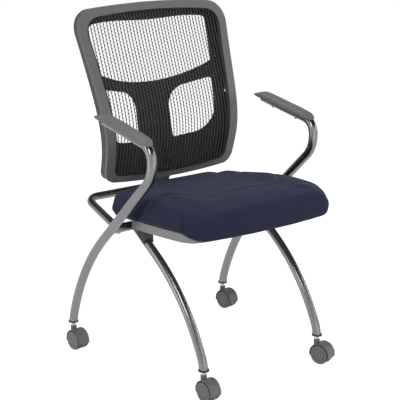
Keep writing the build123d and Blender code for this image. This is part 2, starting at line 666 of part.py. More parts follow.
def build_back():
    outer = through(back_face(0, 0, 0))
    opening = through(back_face(BEZEL_SIDE, BEZEL_TOP, BEZEL_BOTTOM))
    tuck = MESH_TUCK
    slot = through(back_face(BEZEL_SIDE - tuck, BEZEL_TOP - tuck, BEZEL_BOTTOM - tuck))
    tuck = MESH_TUCK - SOFT_GAP
    cloth = through(back_face(BEZEL_SIDE - tuck, BEZEL_TOP - tuck, BEZEL_BOTTOM - tuck))
    bezel = (outer - opening) & back_slab(0, BEZEL_T)
    bezel = bezel - (slot & back_slab(MESH_DEPTH - SOFT_GAP, MESH_DEPTH + MESH_T + SOFT_GAP))
    mesh = (cloth & back_slab(MESH_DEPTH, MESH_DEPTH + MESH_T)) - through(mesh_cells())

    rim_in = RIM_INSET + RIM_WALL
    ring = through(back_face(RIM_INSET, RIM_INSET, RIM_INSET)) - through(back_face(rim_in, rim_in, rim_in))
    shell = ring & back_slab(BEZEL_T, BEZEL_T + RIM_DEPTH)
    plate = shell_plate()
    for window in (upper_window(), lower_window(1), lower_window(-1)):
        plate = plate - through(window)
    shell = shell + plate
    for x, z in BACK_BOLT_PLACES:
        boss = Pos(x, spine_y(z) - BACK_BOSS_L / 2 + 1, z) * Rot(90, 0, 0) * Cylinder(BACK_BOSS_D / 2, BACK_BOSS_L)
        shell = shell + boss

    screws = []
    for x, z in shell_screw_places():
        seat_y = profile_y(z, BEZEL_T + RIM_DEPTH)
        drill = Pos(x, seat_y, z) * Rot(90, 0, 0) * Cylinder(SHELL_SCREW_D / 2, 2 * (RIM_DEPTH + SHELL_SCREW_BITE))
        sink = cylinder_y(seat_y - SHELL_SCREW_SINK, seat_y + RIM_DEPTH / 2, SHELL_SCREW_HEAD_D)
        shell = shell - drill - Pos(x, 0, z) * sink
        bezel = bezel - drill
        one = screw(SHELL_SCREW_D, SHELL_SCREW_HEAD_D, RIM_DEPTH + SHELL_SCREW_BITE - SHELL_SCREW_SINK)
        screws.append(Pos(x, seat_y - SHELL_SCREW_SINK, z) * Rot(90, 0, 0) * one)
    parts["back_frame"] = bezel
    parts["back_mesh"] = mesh
    parts["shell_screws"] = Compound(screws)
    build_back_bracket(shell)


def build_back_bracket(shell):
    half = BACK_BRACKET_W / 2
    t = BACK_BRACKET_T
    knee_y, knee_z = BACK_BRACKET_KNEE
    top_y = spine_y(BACK_BRACKET_TOP) + SHELL_T - 2
    front = [(top_y, BACK_BRACKET_TOP), (spine_y(BACK_BRACKET_MIDDLE) + SHELL_T - 2, BACK_BRACKET_MIDDLE), (knee_y, knee_z),
             (HOOP_BACK_Y - 6, HOOP_BACK_Z)]
    rear = [(y + t + 2, z - (1.5 * t if index == 3 else 0)) for index, (y, z) in enumerate(front)]
    side_view = Plane.YZ * make_face(Polyline(*front, *reversed(rear), close=True))
    bracket = extrude(side_view, amount=half, both=True)
    bracket = bracket - shell - rod(hoop_path(), HOOP_TUBE_D)
    bracket = largest(bracket)
    bolts = []
    for x, z in BACK_BOLT_PLACES:
        head_y = spine_y(z) + SHELL_T + t
        drill = Pos(x, head_y, z) * Rot(90, 0, 0) * Cylinder(BACK_BOLT_D / 2, 40)
        face = Pos(x, head_y + 10, z) * Rot(90, 0, 0) * Cylinder(BACK_BOLT_D, 20)
        bracket = bracket - drill - face
        shell = shell - drill
        bolts.append(Pos(x, head_y, z) * back_bolt(t + SHELL_T + BACK_BOSS_L - 3))
    parts["back_shell"] = shell
    parts["back_bracket"] = bracket
    parts["back_bolts"] = Compound(bolts)


# ---------------------------------------------------------------- arm pads
def on_arm(x, shape):
    """Lay a piece built along +Y, tube centreline at z = 0, onto an arm's top run."""
    return Pos(x, ARM_FRONT_Y, ARM_CORNER_Z) * Rot(ARM_TOP_SLOPE, 0, 0) * shape


def pad_side_view():
    top_front = (PAD_FRONT + PAD_FRONT_ROLL, PAD_TOP)
    top_rear = (PAD_REAR - PAD_REAR_ROLL, PAD_TOP)
    low_front = (PAD_FRONT + PAD_FRONT_ROLL * 0.7, PAD_LOW)
    low_rear = (PAD_REAR - PAD_REAR_ROLL * 0.7, PAD_LOW)
    rise = PAD_TOP - PAD_TIP
    under_tip = PAD_TIP - PAD_TIP_T
    edges = [
        ThreePointArc((PAD_FRONT, PAD_TIP), (PAD_FRONT + PAD_FRONT_ROLL * 0.36, PAD_TIP + rise * 0.65), top_front),
        Line(top_front, top_rear),
        ThreePointArc(top_rear, (PAD_REAR - PAD_REAR_ROLL * 0.36, PAD_TIP + rise * 0.65), (PAD_REAR, PAD_TIP)),
        Line((PAD_REAR, PAD_TIP), (PAD_REAR, under_tip)),
        Line((PAD_REAR, under_tip), low_rear),
        Line(low_rear, low_front),
        Line(low_front, (PAD_FRONT, under_tip)),
        Line((PAD_FRONT, under_tip), (PAD_FRONT, PAD_TIP)),
    ]
    return Plane.YZ * make_face(Wire([edge.edge() for edge in edges]))


def pad_plan():
    """Oval at the front, rounded corners at the rear."""
    half = PAD_W / 2
    middle_y = PAD_FRONT + PAD_NOSE
    body = Pos(0, (middle_y + PAD_REAR) / 2) * Rectangle(PAD_W, PAD_REAR - middle_y)
    body = fillet(body.vertices().sort_by(Axis.Y)[-2:], PAD_TAIL)
    return body + Pos(0, middle_y) * Ellipse(half, PAD_NOSE)


def pad_section():
    """Cross-section of the pad, its upper corners well rounded."""
    face = Pos(0, (PAD_LOW + PAD_TOP) / 2) * Rectangle(PAD_W, PAD_TOP - PAD_LOW)
    return fillet(face.vertices().sort_by(Axis.Y)[-2:], PAD_SHOULDER_R)


def build_arm_pads():
    blank = extrude(pad_side_view(), amount=PAD_W, both=True) & extrude(pad_plan(), amount=PAD_W, both=True)
    blank = blank & through(pad_section())
    cap = cylinder_y(ARM_TOP_RUN - CAP_DEPTH, ARM_TOP_RUN, ARM_TUBE_D - 2 * TUBE_WALL)
    cap = cap + cylinder_y(ARM_TOP_RUN, ARM_TOP_RUN + CAP_T, ARM_TUBE_D)
    room = cylinder_y(ARM_TOP_RUN - CAP_DEPTH, ARM_TOP_RUN + CAP_T, ARM_TUBE_D)
    head_z = -ARM_TUBE_D / 2
    one = screw(PAD_SCREW_D, PAD_SCREW_HEAD_D, PAD_SCREW_TIP - head_z)
    screws = []
    for side, s in SIDES.items():
        x = s * ARM_X
        pad = on_arm(x, blank - room) - rod(arm_path(x), ARM_TUBE_D)
        tube_now = parts["arm_tube_" + side]
        for place in PAD_SCREWS:
            drill = on_arm(x, cylinder_z(0, place, head_z - 1, PAD_SCREW_TIP, PAD_SCREW_D))
            pad = pad - drill
            tube_now = tube_now - drill
            screws.append(on_arm(x, Pos(0, place, head_z) * one))
        parts["arm_tube_" + side] = tube_now
        parts["arm_pad_" + side] = largest(pad)
        parts["tube_cap_" + side] = on_arm(x, cap)
    parts["pad_screws"] = Compound(screws)


# ---------------------------------------------------------------- run
build_frame()
build_casters()
build_seat()
build_back()
build_arm_pads()
os.makedirs("parts", exist_ok=True)
for name, shape in parts.items():
    export_step(shape, "parts/" + name + ".step")
print(len(parts), "parts")
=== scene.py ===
import json
import math

import bmesh
import bpy
import numpy as np
from bpy.props import FloatProperty, FloatVectorProperty, IntProperty, PointerProperty
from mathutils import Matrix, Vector


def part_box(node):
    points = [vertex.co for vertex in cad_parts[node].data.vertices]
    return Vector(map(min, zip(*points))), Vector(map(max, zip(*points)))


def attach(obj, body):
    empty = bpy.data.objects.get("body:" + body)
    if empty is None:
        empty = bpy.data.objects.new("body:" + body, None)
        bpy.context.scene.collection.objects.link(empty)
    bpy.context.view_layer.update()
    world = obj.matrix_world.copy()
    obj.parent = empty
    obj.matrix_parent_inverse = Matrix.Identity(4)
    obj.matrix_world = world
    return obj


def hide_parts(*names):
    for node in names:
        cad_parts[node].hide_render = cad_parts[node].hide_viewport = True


bl_info = {
    "name": "Nesting Chair",
    "version": (1, 0, 0),
    "blender": (4, 5, 0),
    "location": "View3D > Sidebar > Chair",
    "description": "Finishes a flip-seat nesting chair: tube frame, casters, cushion, mesh back and arm pads",
    "category": "Object",
}

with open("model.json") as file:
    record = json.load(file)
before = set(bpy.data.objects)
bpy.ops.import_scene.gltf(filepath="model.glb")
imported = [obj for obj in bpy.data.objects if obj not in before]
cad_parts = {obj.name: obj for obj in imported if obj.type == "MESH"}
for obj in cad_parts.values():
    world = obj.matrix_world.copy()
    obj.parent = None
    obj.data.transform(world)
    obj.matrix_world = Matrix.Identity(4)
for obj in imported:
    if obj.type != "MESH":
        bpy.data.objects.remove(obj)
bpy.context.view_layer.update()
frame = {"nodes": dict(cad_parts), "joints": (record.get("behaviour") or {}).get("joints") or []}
NODES = frame["nodes"]
SIDES = ("right", "left")
CORNERS = ("front_right", "front_left", "rear_right", "rear_left")

# Turn of each caster about its stem at rest, in radians, read from its right wheel's axle
ROLL = "roll_right_"
SWIVEL = {joint["name"][len(ROLL):]: math.atan2(joint["axis"][1], joint["axis"][0])
          for joint in frame["joints"] if joint["name"].startswith(ROLL)}
SEAT_PIVOT = next(joint["pos_m"] for joint in frame["joints"] if joint["name"] == "seat_flip")
SEAT_TILT = math.radians(4.0)


# ---------------------------------------------------------------- node helpers
class Nodes:
    """Short calls that add nodes to a tree and link them."""

    def __init__(self, tree):
        self.tree = tree

    def add(self, kind, inputs=None, **settings):
        node = self.tree.nodes.new(kind)
        for key, value in settings.items():
            setattr(node, key, value)
        for key, value in (inputs or {}).items():
            self.feed(node.inputs[key], value)
        return node

    def out(self, kind, inputs=None, **settings):
        """First output of a new node."""
        return self.add(kind, inputs, **settings).outputs[0]

    def feed(self, socket, value):
        if isinstance(value, bpy.types.NodeSocket):
            self.tree.links.new(value, socket)
        else:
            socket.default_value = value

    def math(self, operation, first, second=0.0, third=0.0):
        return self.out("ShaderNodeMath", {0: first, 1: second, 2: third}, operation=operation)

    def mix(self, fac, first, second):
        node = self.add("ShaderNodeMix", data_type="RGBA")
        self.feed(node.inputs[0], fac)
        self.feed(node.inputs[6], first)
        self.feed(node.inputs[7], second)
        return node.outputs[2]

    def backdrop_rays(self):
        """1 for the rays that show the white backdrop: the camera's, and those that gloss or glass sends on."""
        rays = self.add("ShaderNodeLightPath").outputs
        seen = self.math("MAXIMUM", rays["Is Camera Ray"], rays["Is Glossy Ray"])
        return self.math("MAXIMUM", seen, rays["Is Transmission Ray"])


class Shader(Nodes):
    """A material's node tree, with short calls for the nodes used here."""

    def __init__(self, name):
        self.material = bpy.data.materials.new(name)
        self.material.use_nodes = True
        super().__init__(self.material.node_tree)
        self.surface = self.tree.nodes["Principled BSDF"]
        self.place = self.add("ShaderNodeTexCoord").outputs["Object"]

    def ramp(self, fac, low, high, low_value=0.0, high_value=1.0):
        return self.out("ShaderNodeMapRange", {"Value": fac, "From Min": low, "From Max": high,
                                               "To Min": low_value, "To Max": high_value})

    def noise(self, scale, detail=2.0, rough=0.5, place=None):
        inputs = {"Vector": place or self.place, "Scale": scale, "Detail": detail, "Roughness": rough}
        return self.add("ShaderNodeTexNoise", inputs).outputs["Fac"]

    def bump(self, height, strength, distance):
        lifted = self.out("ShaderNodeBump", {"Height": height, "Strength": strength, "Distance": distance})
        self.feed(self.surface.inputs["Normal"], lifted)

    def set(self, **values):
        """Values or links for the surface's own sockets; underscores stand for spaces."""
        for key, value in values.items():
            self.feed(self.surface.inputs[key.replace("_", " ")], value)


class GeometryTree(Nodes):
    """A Geometry Nodes tree with named inputs for its sizes and counts, and one for its material."""

    def __init__(self, name, sizes, counts=()):
        super().__init__(bpy.data.node_groups.new(name, "GeometryNodeTree"))
        sockets = self.tree.interface
        sockets.new_socket("Geometry", in_out="OUTPUT", socket_type="NodeSocketGeometry")
        sockets.new_socket("Geometry", in_out="INPUT", socket_type="NodeSocketGeometry")
        kinds = dict.fromkeys(sizes, "NodeSocketFloat") | dict.fromkeys(counts, "NodeSocketInt")
        kinds["Material"] = "NodeSocketMaterial"
        self.keys = {label: sockets.new_socket(label, in_out="INPUT", socket_type=kind).identifier
                     for label, kind in kinds.items()}
        self.value = {socket.name: socket for socket in self.add("NodeGroupInput").outputs}

    def finish(self, geometry):
        """End the tree in real meshes with its material."""
        real = self.out("GeometryNodeRealizeInstances", {0: geometry})
        painted = self.out("GeometryNodeSetMaterial", {"Geometry": real, "Material": self.value["Material"]})
        self.feed(self.add("NodeGroupOutput").inputs[0], painted)

    def run(self, piece, values):
        """Run the tree on a piece and leave a plain mesh."""
        modifier = piece.modifiers.new(self.tree.name, "NODES")
        modifier.node_group = self.tree
        for label, value in values.items():
            modifier[self.keys[label]] = value
        apply_modifiers(piece)


# ---------------------------------------------------------------- materials
WHITE = (1.0, 1.0, 1.0, 1.0)
BLACK = (0.012, 0.012, 0.013)


def shade(colour, factor):
    return tuple(channel * factor for channel in colour[:3]) + (1.0,)


def tube_metal(settings):
    """Gunmetal finish of the tubes, with a soft gloss."""
    metal = Shader("tube_metal")
    drift = metal.noise(scale=18.0, detail=3.0)
    fine = metal.noise(scale=900.0)
    colour, rough = settings.tube_colour, settings.tube_roughness
    metal.set(Base_Color=metal.mix(drift, shade(colour, 0.92), shade(colour, 1.08)), Metallic=1.0,
              Roughness=metal.ramp(drift, 0.3, 0.7, rough, rough + 0.05))
    metal.bump(fine, strength=0.03, distance=0.0001)
    return metal.material


def moulded(name, colour, roughness=0.5, grain=1600.0, bump=0.12, gloss=0.5):
    """Moulded plastic or paint with a fine spark texture and slight tone drift."""
    plastic = Shader(name)
    drift = plastic.noise(scale=9.0, detail=3.0)
    spark = plastic.noise(scale=grain, rough=0.6)
    tone = plastic.math("ADD", plastic.math("MULTIPLY", drift, 0.6), plastic.math("MULTIPLY", spark, 0.4))
    plastic.set(Base_Color=plastic.mix(tone, shade(colour, 0.86), shade(colour, 1.14)),
                Roughness=plastic.ramp(spark, 0.3, 0.7, roughness - 0.05, roughness + 0.06),
                Specular_IOR_Level=gloss)
    plastic.bump(spark, bump, distance=0.0003)
    return plastic.material


def black_plastic():
    """Black plastic of the caps, plugs and seat rests; one material for all of them."""
    made = bpy.data.materials.get("black_plastic")
    return made or moulded("black_plastic", (0.014, 0.014, 0.015), roughness=0.42)


def own_finish(name):
    """A plain finish as the frame brings it; one made here under the same name gets a number."""
    return bpy.data.materials[name]


def zinc_steel():
    """Plated steel with faint turning marks."""
    steel = Shader("zinc_steel")
    scratch = steel.noise(scale=700.0, detail=4.0, rough=0.7)
    steel.set(Base_Color=steel.mix(scratch, (0.34, 0.34, 0.35, 1.0), (0.55, 0.55, 0.54, 1.0)), Metallic=1.0,
              Roughness=steel.ramp(scratch, 0.2, 0.8, 0.24, 0.42))
    steel.bump(scratch, strength=0.08, distance=0.0002)
    return steel.material


def plywood():
    """Raw birch ply: long grain and thin dark plies on the edge."""
    wood = Shader("plywood")
    stretched = wood.out("ShaderNodeMapping", {"Vector": wood.place, "Scale": (2.0, 26.0, 26.0)})
    grain = wood.noise(scale=9.0, detail=6.0, rough=0.65, place=stretched)
    plies = wood.add("ShaderNodeTexWave", {"Vector": wood.place, "Scale": 120.0, "Distortion": 0.6},
                     bands_direction="Z").outputs["Fac"]
    tone = wood.math("MULTIPLY", grain, wood.ramp(plies, 0.0, 1.0, 0.75, 1.0))
    wood.set(Base_Color=wood.mix(tone, (0.22, 0.13, 0.06, 1.0), (0.60, 0.42, 0.24, 1.0)), Roughness=0.65)
    wood.bump(grain, strength=0.15, distance=0.0004)
    return wood.material


def seat_cloth(settings):
    """Plain-woven upholstery: crossing yarns, melange specks and tufts, and a soft sheen."""
    cloth = Shader("seat_fabric")
    turns = 2 * math.pi / settings.yarn_pitch
    x, y, z = cloth.add("ShaderNodeSeparateXYZ", {0: cloth.place}).outputs
    across = cloth.math("SINE", cloth.math("MULTIPLY", cloth.math("ADD", x, z), turns))
    along = cloth.math("SINE", cloth.math("MULTIPLY", cloth.math("ADD", y, z), turns))
    weave = cloth.math("MULTIPLY", across, along)
    speck = cloth.noise(scale=1100.0, rough=0.6)
    drift = cloth.noise(scale=14.0, detail=3.0)
    tuft = cloth.ramp(cloth.noise(scale=430.0, rough=0.7), 0.35, 0.65, 0.0, 0.44)
    tone = cloth.math("ADD", cloth.ramp(weave, -1.0, 1.0, 0.0, 0.22), cloth.math("MULTIPLY", speck, 0.20))
    tone = cloth.math("ADD", tone, cloth.math("MULTIPLY_ADD", drift, 0.14, tuft))
    colour = settings.cloth_colour
    cloth.set(Base_Color=cloth.mix(tone, shade(colour, 0.45), shade(colour, 1.55)), Roughness=0.92,
              Specular_IOR_Level=0.25, Sheen_Weight=settings.cloth_sheen, Sheen_Roughness=0.45,
              Sheen_Tint=(0.55, 0.62, 0.85, 1.0))
    threads = cloth.math("ADD", weave, cloth.math("MULTIPLY", speck, 1.2))
    cloth.bump(threads, strength=0.35, distance=0.00025)
    return cloth.material


def net_yarn(settings):
    """Coarse black yarn of the back's net, with lighter flecks of filament."""
    yarn = Shader("back_mesh")
    stretched = yarn.out("ShaderNodeMapping", {"Vector": yarn.place, "Scale": (1.0, 1.0, 0.22)})
    fleck = yarn.noise(scale=1300.0, detail=3.0, rough=0.7, place=stretched)
    colour = settings.net_colour
    yarn.set(Base_Color=yarn.mix(yarn.ramp(fleck, 0.48, 0.64), shade(colour, 0.5), shade(colour, 3.4)),
             Roughness=0.7, Sheen_Weight=0.1, Sheen_Roughness=0.5)
    yarn.bump(fleck, strength=0.4, distance=0.0003)
    return yarn.material


TREAD_EDGE = (0.0022, 0.0016)       # the black tread fades in between these depths under the rim
RING_SHARE = 0.62                   # radius of the moulding ring, of the wheel's; the face gets painted shade there
RING_HALF = 0.0009


def wheel_plastic(settings, node, corner):
    """Caster wheel: grey moulded face, black tread and a fine moulding ring round the hub, a groove with
    painted shade in it.
    """
    low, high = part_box(node)
    middle = (low + high) / 2
    rim = (high.z - low.z) / 2
    wheel = Shader(node + "_finish")
    moved = wheel.out("ShaderNodeVectorMath", {0: wheel.place, 1: tuple(middle)}, operation="SUBTRACT")
    turned = wheel.out("ShaderNodeMapping", {"Vector": moved, "Rotation": (0.0, 0.0, -SWIVEL[corner])})
    _, y, z = wheel.add("ShaderNodeSeparateXYZ", {0: turned}).outputs
    flat = wheel.out("ShaderNodeCombineXYZ", {1: y, 2: z})
    radius = wheel.add("ShaderNodeVectorMath", {0: flat}, operation="LENGTH").outputs["Value"]
    tread = wheel.ramp(radius, rim - TREAD_EDGE[0], rim - TREAD_EDGE[1])
    ring = wheel.math("COMPARE", radius, rim * RING_SHARE, RING_HALF)
    spark = wheel.noise(scale=1500.0, rough=0.6)
    colour = settings.caster_colour
    face = wheel.mix(spark, shade(colour, 0.88), shade(colour, 1.12))
    # painted shade: the face is darkened along the moulding ring's groove
    face = wheel.mix(ring, face, shade(colour, 0.35))
    wheel.set(Base_Color=wheel.mix(tread, face, shade(BLACK, 1.0)),
              Roughness=wheel.ramp(spark, 0.3, 0.7, 0.4, 0.5))
    groove = wheel.math("SUBTRACT", wheel.math("MULTIPLY", spark, 0.3), ring)
    wheel.bump(groove, strength=0.3, distance=0.0004)
    return wheel.material


# ---------------------------------------------------------------- mesh helpers
MERGE = 0.00002         # corners closer than this are one
EVEN_PASSES = 5
TINY = 1e-9


def paint(piece, *materials):
    piece.data.materials.clear()
    for material in materials:
        piece.data.materials.append(material)


def dress(node, *materials):
    """Give a carried-over node its finish."""
    paint(NODES[node], *materials)
    return NODES[node]


def new_object(name, mesh):
    piece = bpy.data.objects.new(name, mesh)
    bpy.context.scene.collection.objects.link(piece)
    return piece


def mesh_object(name, points, edges=(), faces=()):
    mesh = bpy.data.meshes.new(name)
    mesh.from_pydata(points, edges, faces)
    mesh.update()
    return new_object(name, mesh)


def merged(mesh):
    """The mesh with its loose triangles joined at their corners, for editing."""
    shape = bmesh.new()
    shape.from_mesh(mesh)
    bmesh.ops.remove_doubles(shape, verts=shape.verts, dist=MERGE)
    return shape


def positions(piece):
    flat = np.zeros(len(piece.data.vertices) * 3)
    piece.data.vertices.foreach_get("co", flat)
    return flat.reshape(-1, 3)


def point_normals(piece):
    flat = np.zeros(len(piece.data.vertices) * 3)
    piece.data.vertices.foreach_get("normal", flat)
    return flat.reshape(-1, 3)


def place_points(piece, points):
    piece.data.vertices.foreach_set("co", points.ravel())
    piece.data.update()


def apply_modifiers(piece):
    """Turn the evaluated piece into a plain mesh and drop its modifiers."""
    graph = bpy.context.evaluated_depsgraph_get()
    made = bpy.data.meshes.new_from_object(piece.evaluated_get(graph))
    old = piece.data
    piece.modifiers.clear()
    piece.data = made
    bpy.data.meshes.remove(old)
    made.name = piece.name


def relax(piece, passes):
    """Even out the piece's points, after the modifiers it has, and leave a plain mesh."""
    smooth = piece.modifiers.new("relax", "SMOOTH")
    smooth.factor = 0.5
    smooth.iterations = passes
    apply_modifiers(piece)


def even_copy(node, name, grid):
    """Evenly meshed copy of a node's solid, slightly drawn in."""
    piece = new_object(name, NODES[node].data.copy())
    shape = merged(piece.data)
    shape.to_mesh(piece.data)
    shape.free()
    remesh = piece.modifiers.new("even", "REMESH")
    remesh.mode = "VOXEL"
    remesh.voxel_size = grid
    relax(piece, EVEN_PASSES)
    return piece


def smooth_shade(piece):
    piece.data.polygons.foreach_set("use_smooth", [True] * len(piece.data.polygons))
    piece.data.update()


def smoothstep(value):
    value = np.clip(value, 0.0, 1.0)
    return value * value * (3 - 2 * value)


def rise(value, start, length):
    """Soft step from 0 to 1 that begins at start and takes a length."""
    return smoothstep((value - start) / length)


def fall(value, end, length):
    """Soft step from 1 to 0 that takes a length and is over at end."""
    return smoothstep((end - value) / length)


# ---------------------------------------------------------------- seat cushion
CLOTH_FRAMES = 20
HOLD_FADE = 0.016       # above the held edge the cloth comes loose over this height

# The crease behind the thigh rolls: how far across from the middle, and how far along from the pivot
CREASE = np.array([
    (0.0, -0.212), (0.03, -0.215), (0.06, -0.222), (0.09, -0.227), (0.115, -0.224), (0.136, -0.209),
    (0.154, -0.188), (0.166, -0.166), (0.179, -0.137), (0.196, -0.118), (0.216, -0.113), (0.26, -0.111)])
CREASE_STEP = 0.004     # to either side, where its slope is taken
CREASE_TURN = 0.082     # below this height it falls to the rear
CREASE_FALL = 1.05      # by this much for each unit of height

# Where the seat's forms fade in or out: start or end, and length. ACROSS is from the middle, ALONG and UP are
# from the pivot.
CREASE_UP = (0.026, 0.014)
CREASE_WIDTH_ON_TOP = 0.55          # shares of its width and depth that the crease has in the middle of the top
CREASE_DEPTH_ON_TOP = 0.28
SIDE_ACROSS = (0.165, 0.05)         # at the sides it is wider and deeper, less so near the top
SIDE_UP = (0.088, 0.024)
SIDE_UPPER_SHARE = 0.08
EDGE_ACROSS = (0.17, 0.04)          # on the rounded edge between top and side it nearly stops
EDGE_UP = (0.070, 0.014)
EDGE_LOSS = 0.85
LIP_SHARE = 0.3                     # height of the lip behind the crease, of the crease's depth
LIP_PLACE = 1.9                     # its place and width, of the crease's width
LIP_WIDTH = 1.1
DISH_UP = (0.060, 0.018)
DISH_ALONG = (0.095, 0.090)
DISH_ACROSS = (0.20, 0.08)
SHOULDER_UP = (0.040, 0.030)
CORNER_ACROSS = (0.15, 0.09)
CORNER_ALONG = (-0.24, 0.10)
THIGH_ALONG = -0.15
THIGH_LENGTH = 0.13
THIGH_ACROSS = (0.10, 0.08)

# Tucks at the front corners: place along the seat, top and depth
TUCKS = ((-0.265, 0.056, 0.0060), (-0.282, 0.040, 0.0038))
TUCK_ACROSS = (0.21, 0.02)
TUCK_TOP_FADE = 0.012
TUCK_FOOT = (0.025, 0.010)
TUCK_BASE = 0.038                   # height at which a tuck stands at its place
TUCK_LEAN = 0.15


def seat_place(points):
    """Points in the seat's own frame: across, along and height, from the pivot, before its tilt."""
    moved = points - np.array(SEAT_PIVOT)
    y = moved[:, 1] * math.cos(SEAT_TILT) - moved[:, 2] * math.sin(SEAT_TILT)
    z = moved[:, 1] * math.sin(SEAT_TILT) + moved[:, 2] * math.cos(SEAT_TILT)
    return moved[:, 0], y, z


def inflate(piece, settings):
    """Cloth under light pressure, held along its lower edge; each point's travel is capped, then relaxed."""
    rest = positions(piece)
    loose = rise(seat_place(rest)[2], settings.cushion_hold, HOLD_FADE)
    group = piece.vertex_groups.new(name="held")
    for index, share in enumerate(loose):
        group.add([index], 1 - float(share), "REPLACE")
    cloth = piece.modifiers.new("cloth", "CLOTH")
    cloth.settings.vertex_group_mass = group.name
    cloth.settings.use_pressure = True
    cloth.settings.uniform_pressure_force = settings.cushion_pressure
    cloth.settings.effector_weights.gravity = 0.0
    cloth.settings.quality = 5
    cloth.point_cache.frame_start = 1
    cloth.point_cache.frame_end = CLOTH_FRAMES
    for step in range(1, CLOTH_FRAMES + 1):
        bpy.context.scene.frame_set(step)
    apply_modifiers(piece)
    bpy.context.scene.frame_set(1)
    travel = positions(piece) - rest
    length = np.linalg.norm(travel, axis=1, keepdims=True)
    travel *= np.minimum(1.0, settings.cushion_cap / np.maximum(length, TINY))
    place_points(piece, rest + travel)
    relax(piece, settings.cushion_relax)


def crease_line(x, z):
    """Where the crease runs, and how much its slope widens it; down the sides it falls to the rear."""
    reach, across, along = np.abs(x), CREASE[:, 0], CREASE[:, 1]
    place = np.interp(reach, across, along)
    near = np.interp(reach - CREASE_STEP, across, along)
    far = np.interp(reach + CREASE_STEP, across, along)
    slope = (far - near) / (2 * CREASE_STEP)
    line = (place + near + far) / 3 + np.clip(CREASE_TURN - z, 0.0, 1.0) * CREASE_FALL
    return line, np.sqrt(1 + slope ** 2)


def press_crease(points, normals, settings):
    """Press in the crease along the normals, with a low lip; returns how far behind it each point lies."""
    x, y, z = seat_place(points)
    reach = np.abs(x)
    line, stretch = crease_line(x, z)
    behind = (y - line) / stretch
    side = rise(reach, *SIDE_ACROSS) * (SIDE_UPPER_SHARE + (1 - SIDE_UPPER_SHARE) * fall(z, *SIDE_UP))
    edge = rise(reach, *EDGE_ACROSS) * rise(z, *EDGE_UP)
    width = settings.crease_width * (CREASE_WIDTH_ON_TOP + (1 - CREASE_WIDTH_ON_TOP) * side)
    depth = settings.crease_depth * (CREASE_DEPTH_ON_TOP + (1 - CREASE_DEPTH_ON_TOP) * side)
    depth *= 1 - EDGE_LOSS * edge
    valley = depth * np.exp(-(behind / width) ** 2)
    lip = LIP_SHARE * depth * np.exp(-((behind - LIP_PLACE * width) / (LIP_WIDTH * width)) ** 2)
    points += normals * ((lip - valley) * rise(z, *CREASE_UP))[:, None]
    return behind


def sculpt_seat(piece, settings):
    """Press in the crease and the sitting dish, raise the thigh rolls and tuck the front corners."""
    points = positions(piece)
    x, y, z = seat_place(points)
    reach = np.abs(x)
    behind = press_crease(points, point_normals(piece), settings)
    dish = rise(behind, 0.0, settings.dish_slope) * fall(y, *DISH_ALONG)
    dish *= rise(z, *DISH_UP) * fall(reach, *DISH_ACROSS)
    corner = rise(reach, *CORNER_ACROSS) * fall(y, *CORNER_ALONG)
    thigh = np.exp(-((y - THIGH_ALONG) / THIGH_LENGTH) ** 2) * rise(reach, *THIGH_ACROSS)
    lift = settings.crown_rise + settings.thigh_rise * thigh - settings.corner_fall * corner
    points[:, 2] += rise(z, *SHOULDER_UP) * lift - settings.dish_depth * dish
    for tuck_y, tuck_top, tuck_depth in TUCKS:
        groove = np.exp(-((y - tuck_y - (z - TUCK_BASE) * TUCK_LEAN) / settings.tuck_width) ** 2)
        height = fall(z, tuck_top, TUCK_TOP_FADE) * rise(z, *TUCK_FOOT)
        points[:, 0] -= np.sign(x) * tuck_depth * groove * height * rise(reach, *TUCK_ACROSS)
    place_points(piece, points)


# ---------------------------------------------------------------- back net
PROFILE_STEP = 0.006    # heights at which the net's side profile is taken
PROFILE_REACH = 0.030   # and the height over which each is evened out
NET_SAMPLES = 6         # points of a yarn in each repeat
NET_DEPTH = 0.0011
NET_SWELL = 0.4
NET_LACE = 0.00035
NET_MARGIN = 0.001      # the net stops this far inside its sheet
NET_RISE = 0.012        # how far its upper and lower edges bow
NET_SAG = 0.011
NET_LOWER_PART = 0.05   # height over which its lower width is measured


def side_profile(node):
    """Middle line of a sheet-like node, seen from the side: heights and depths."""
    points = positions(NODES[node])
    heights = np.arange(points[:, 2].min(), points[:, 2].max(), PROFILE_STEP)
    depths = []
    for height in heights:
        away = points[:, 2] - height
        weight = np.exp(-(away / PROFILE_REACH) ** 2) + TINY
        depths.append(np.polyfit(away, points[:, 1], 2, w=weight)[-1])
    return heights, np.array(depths)


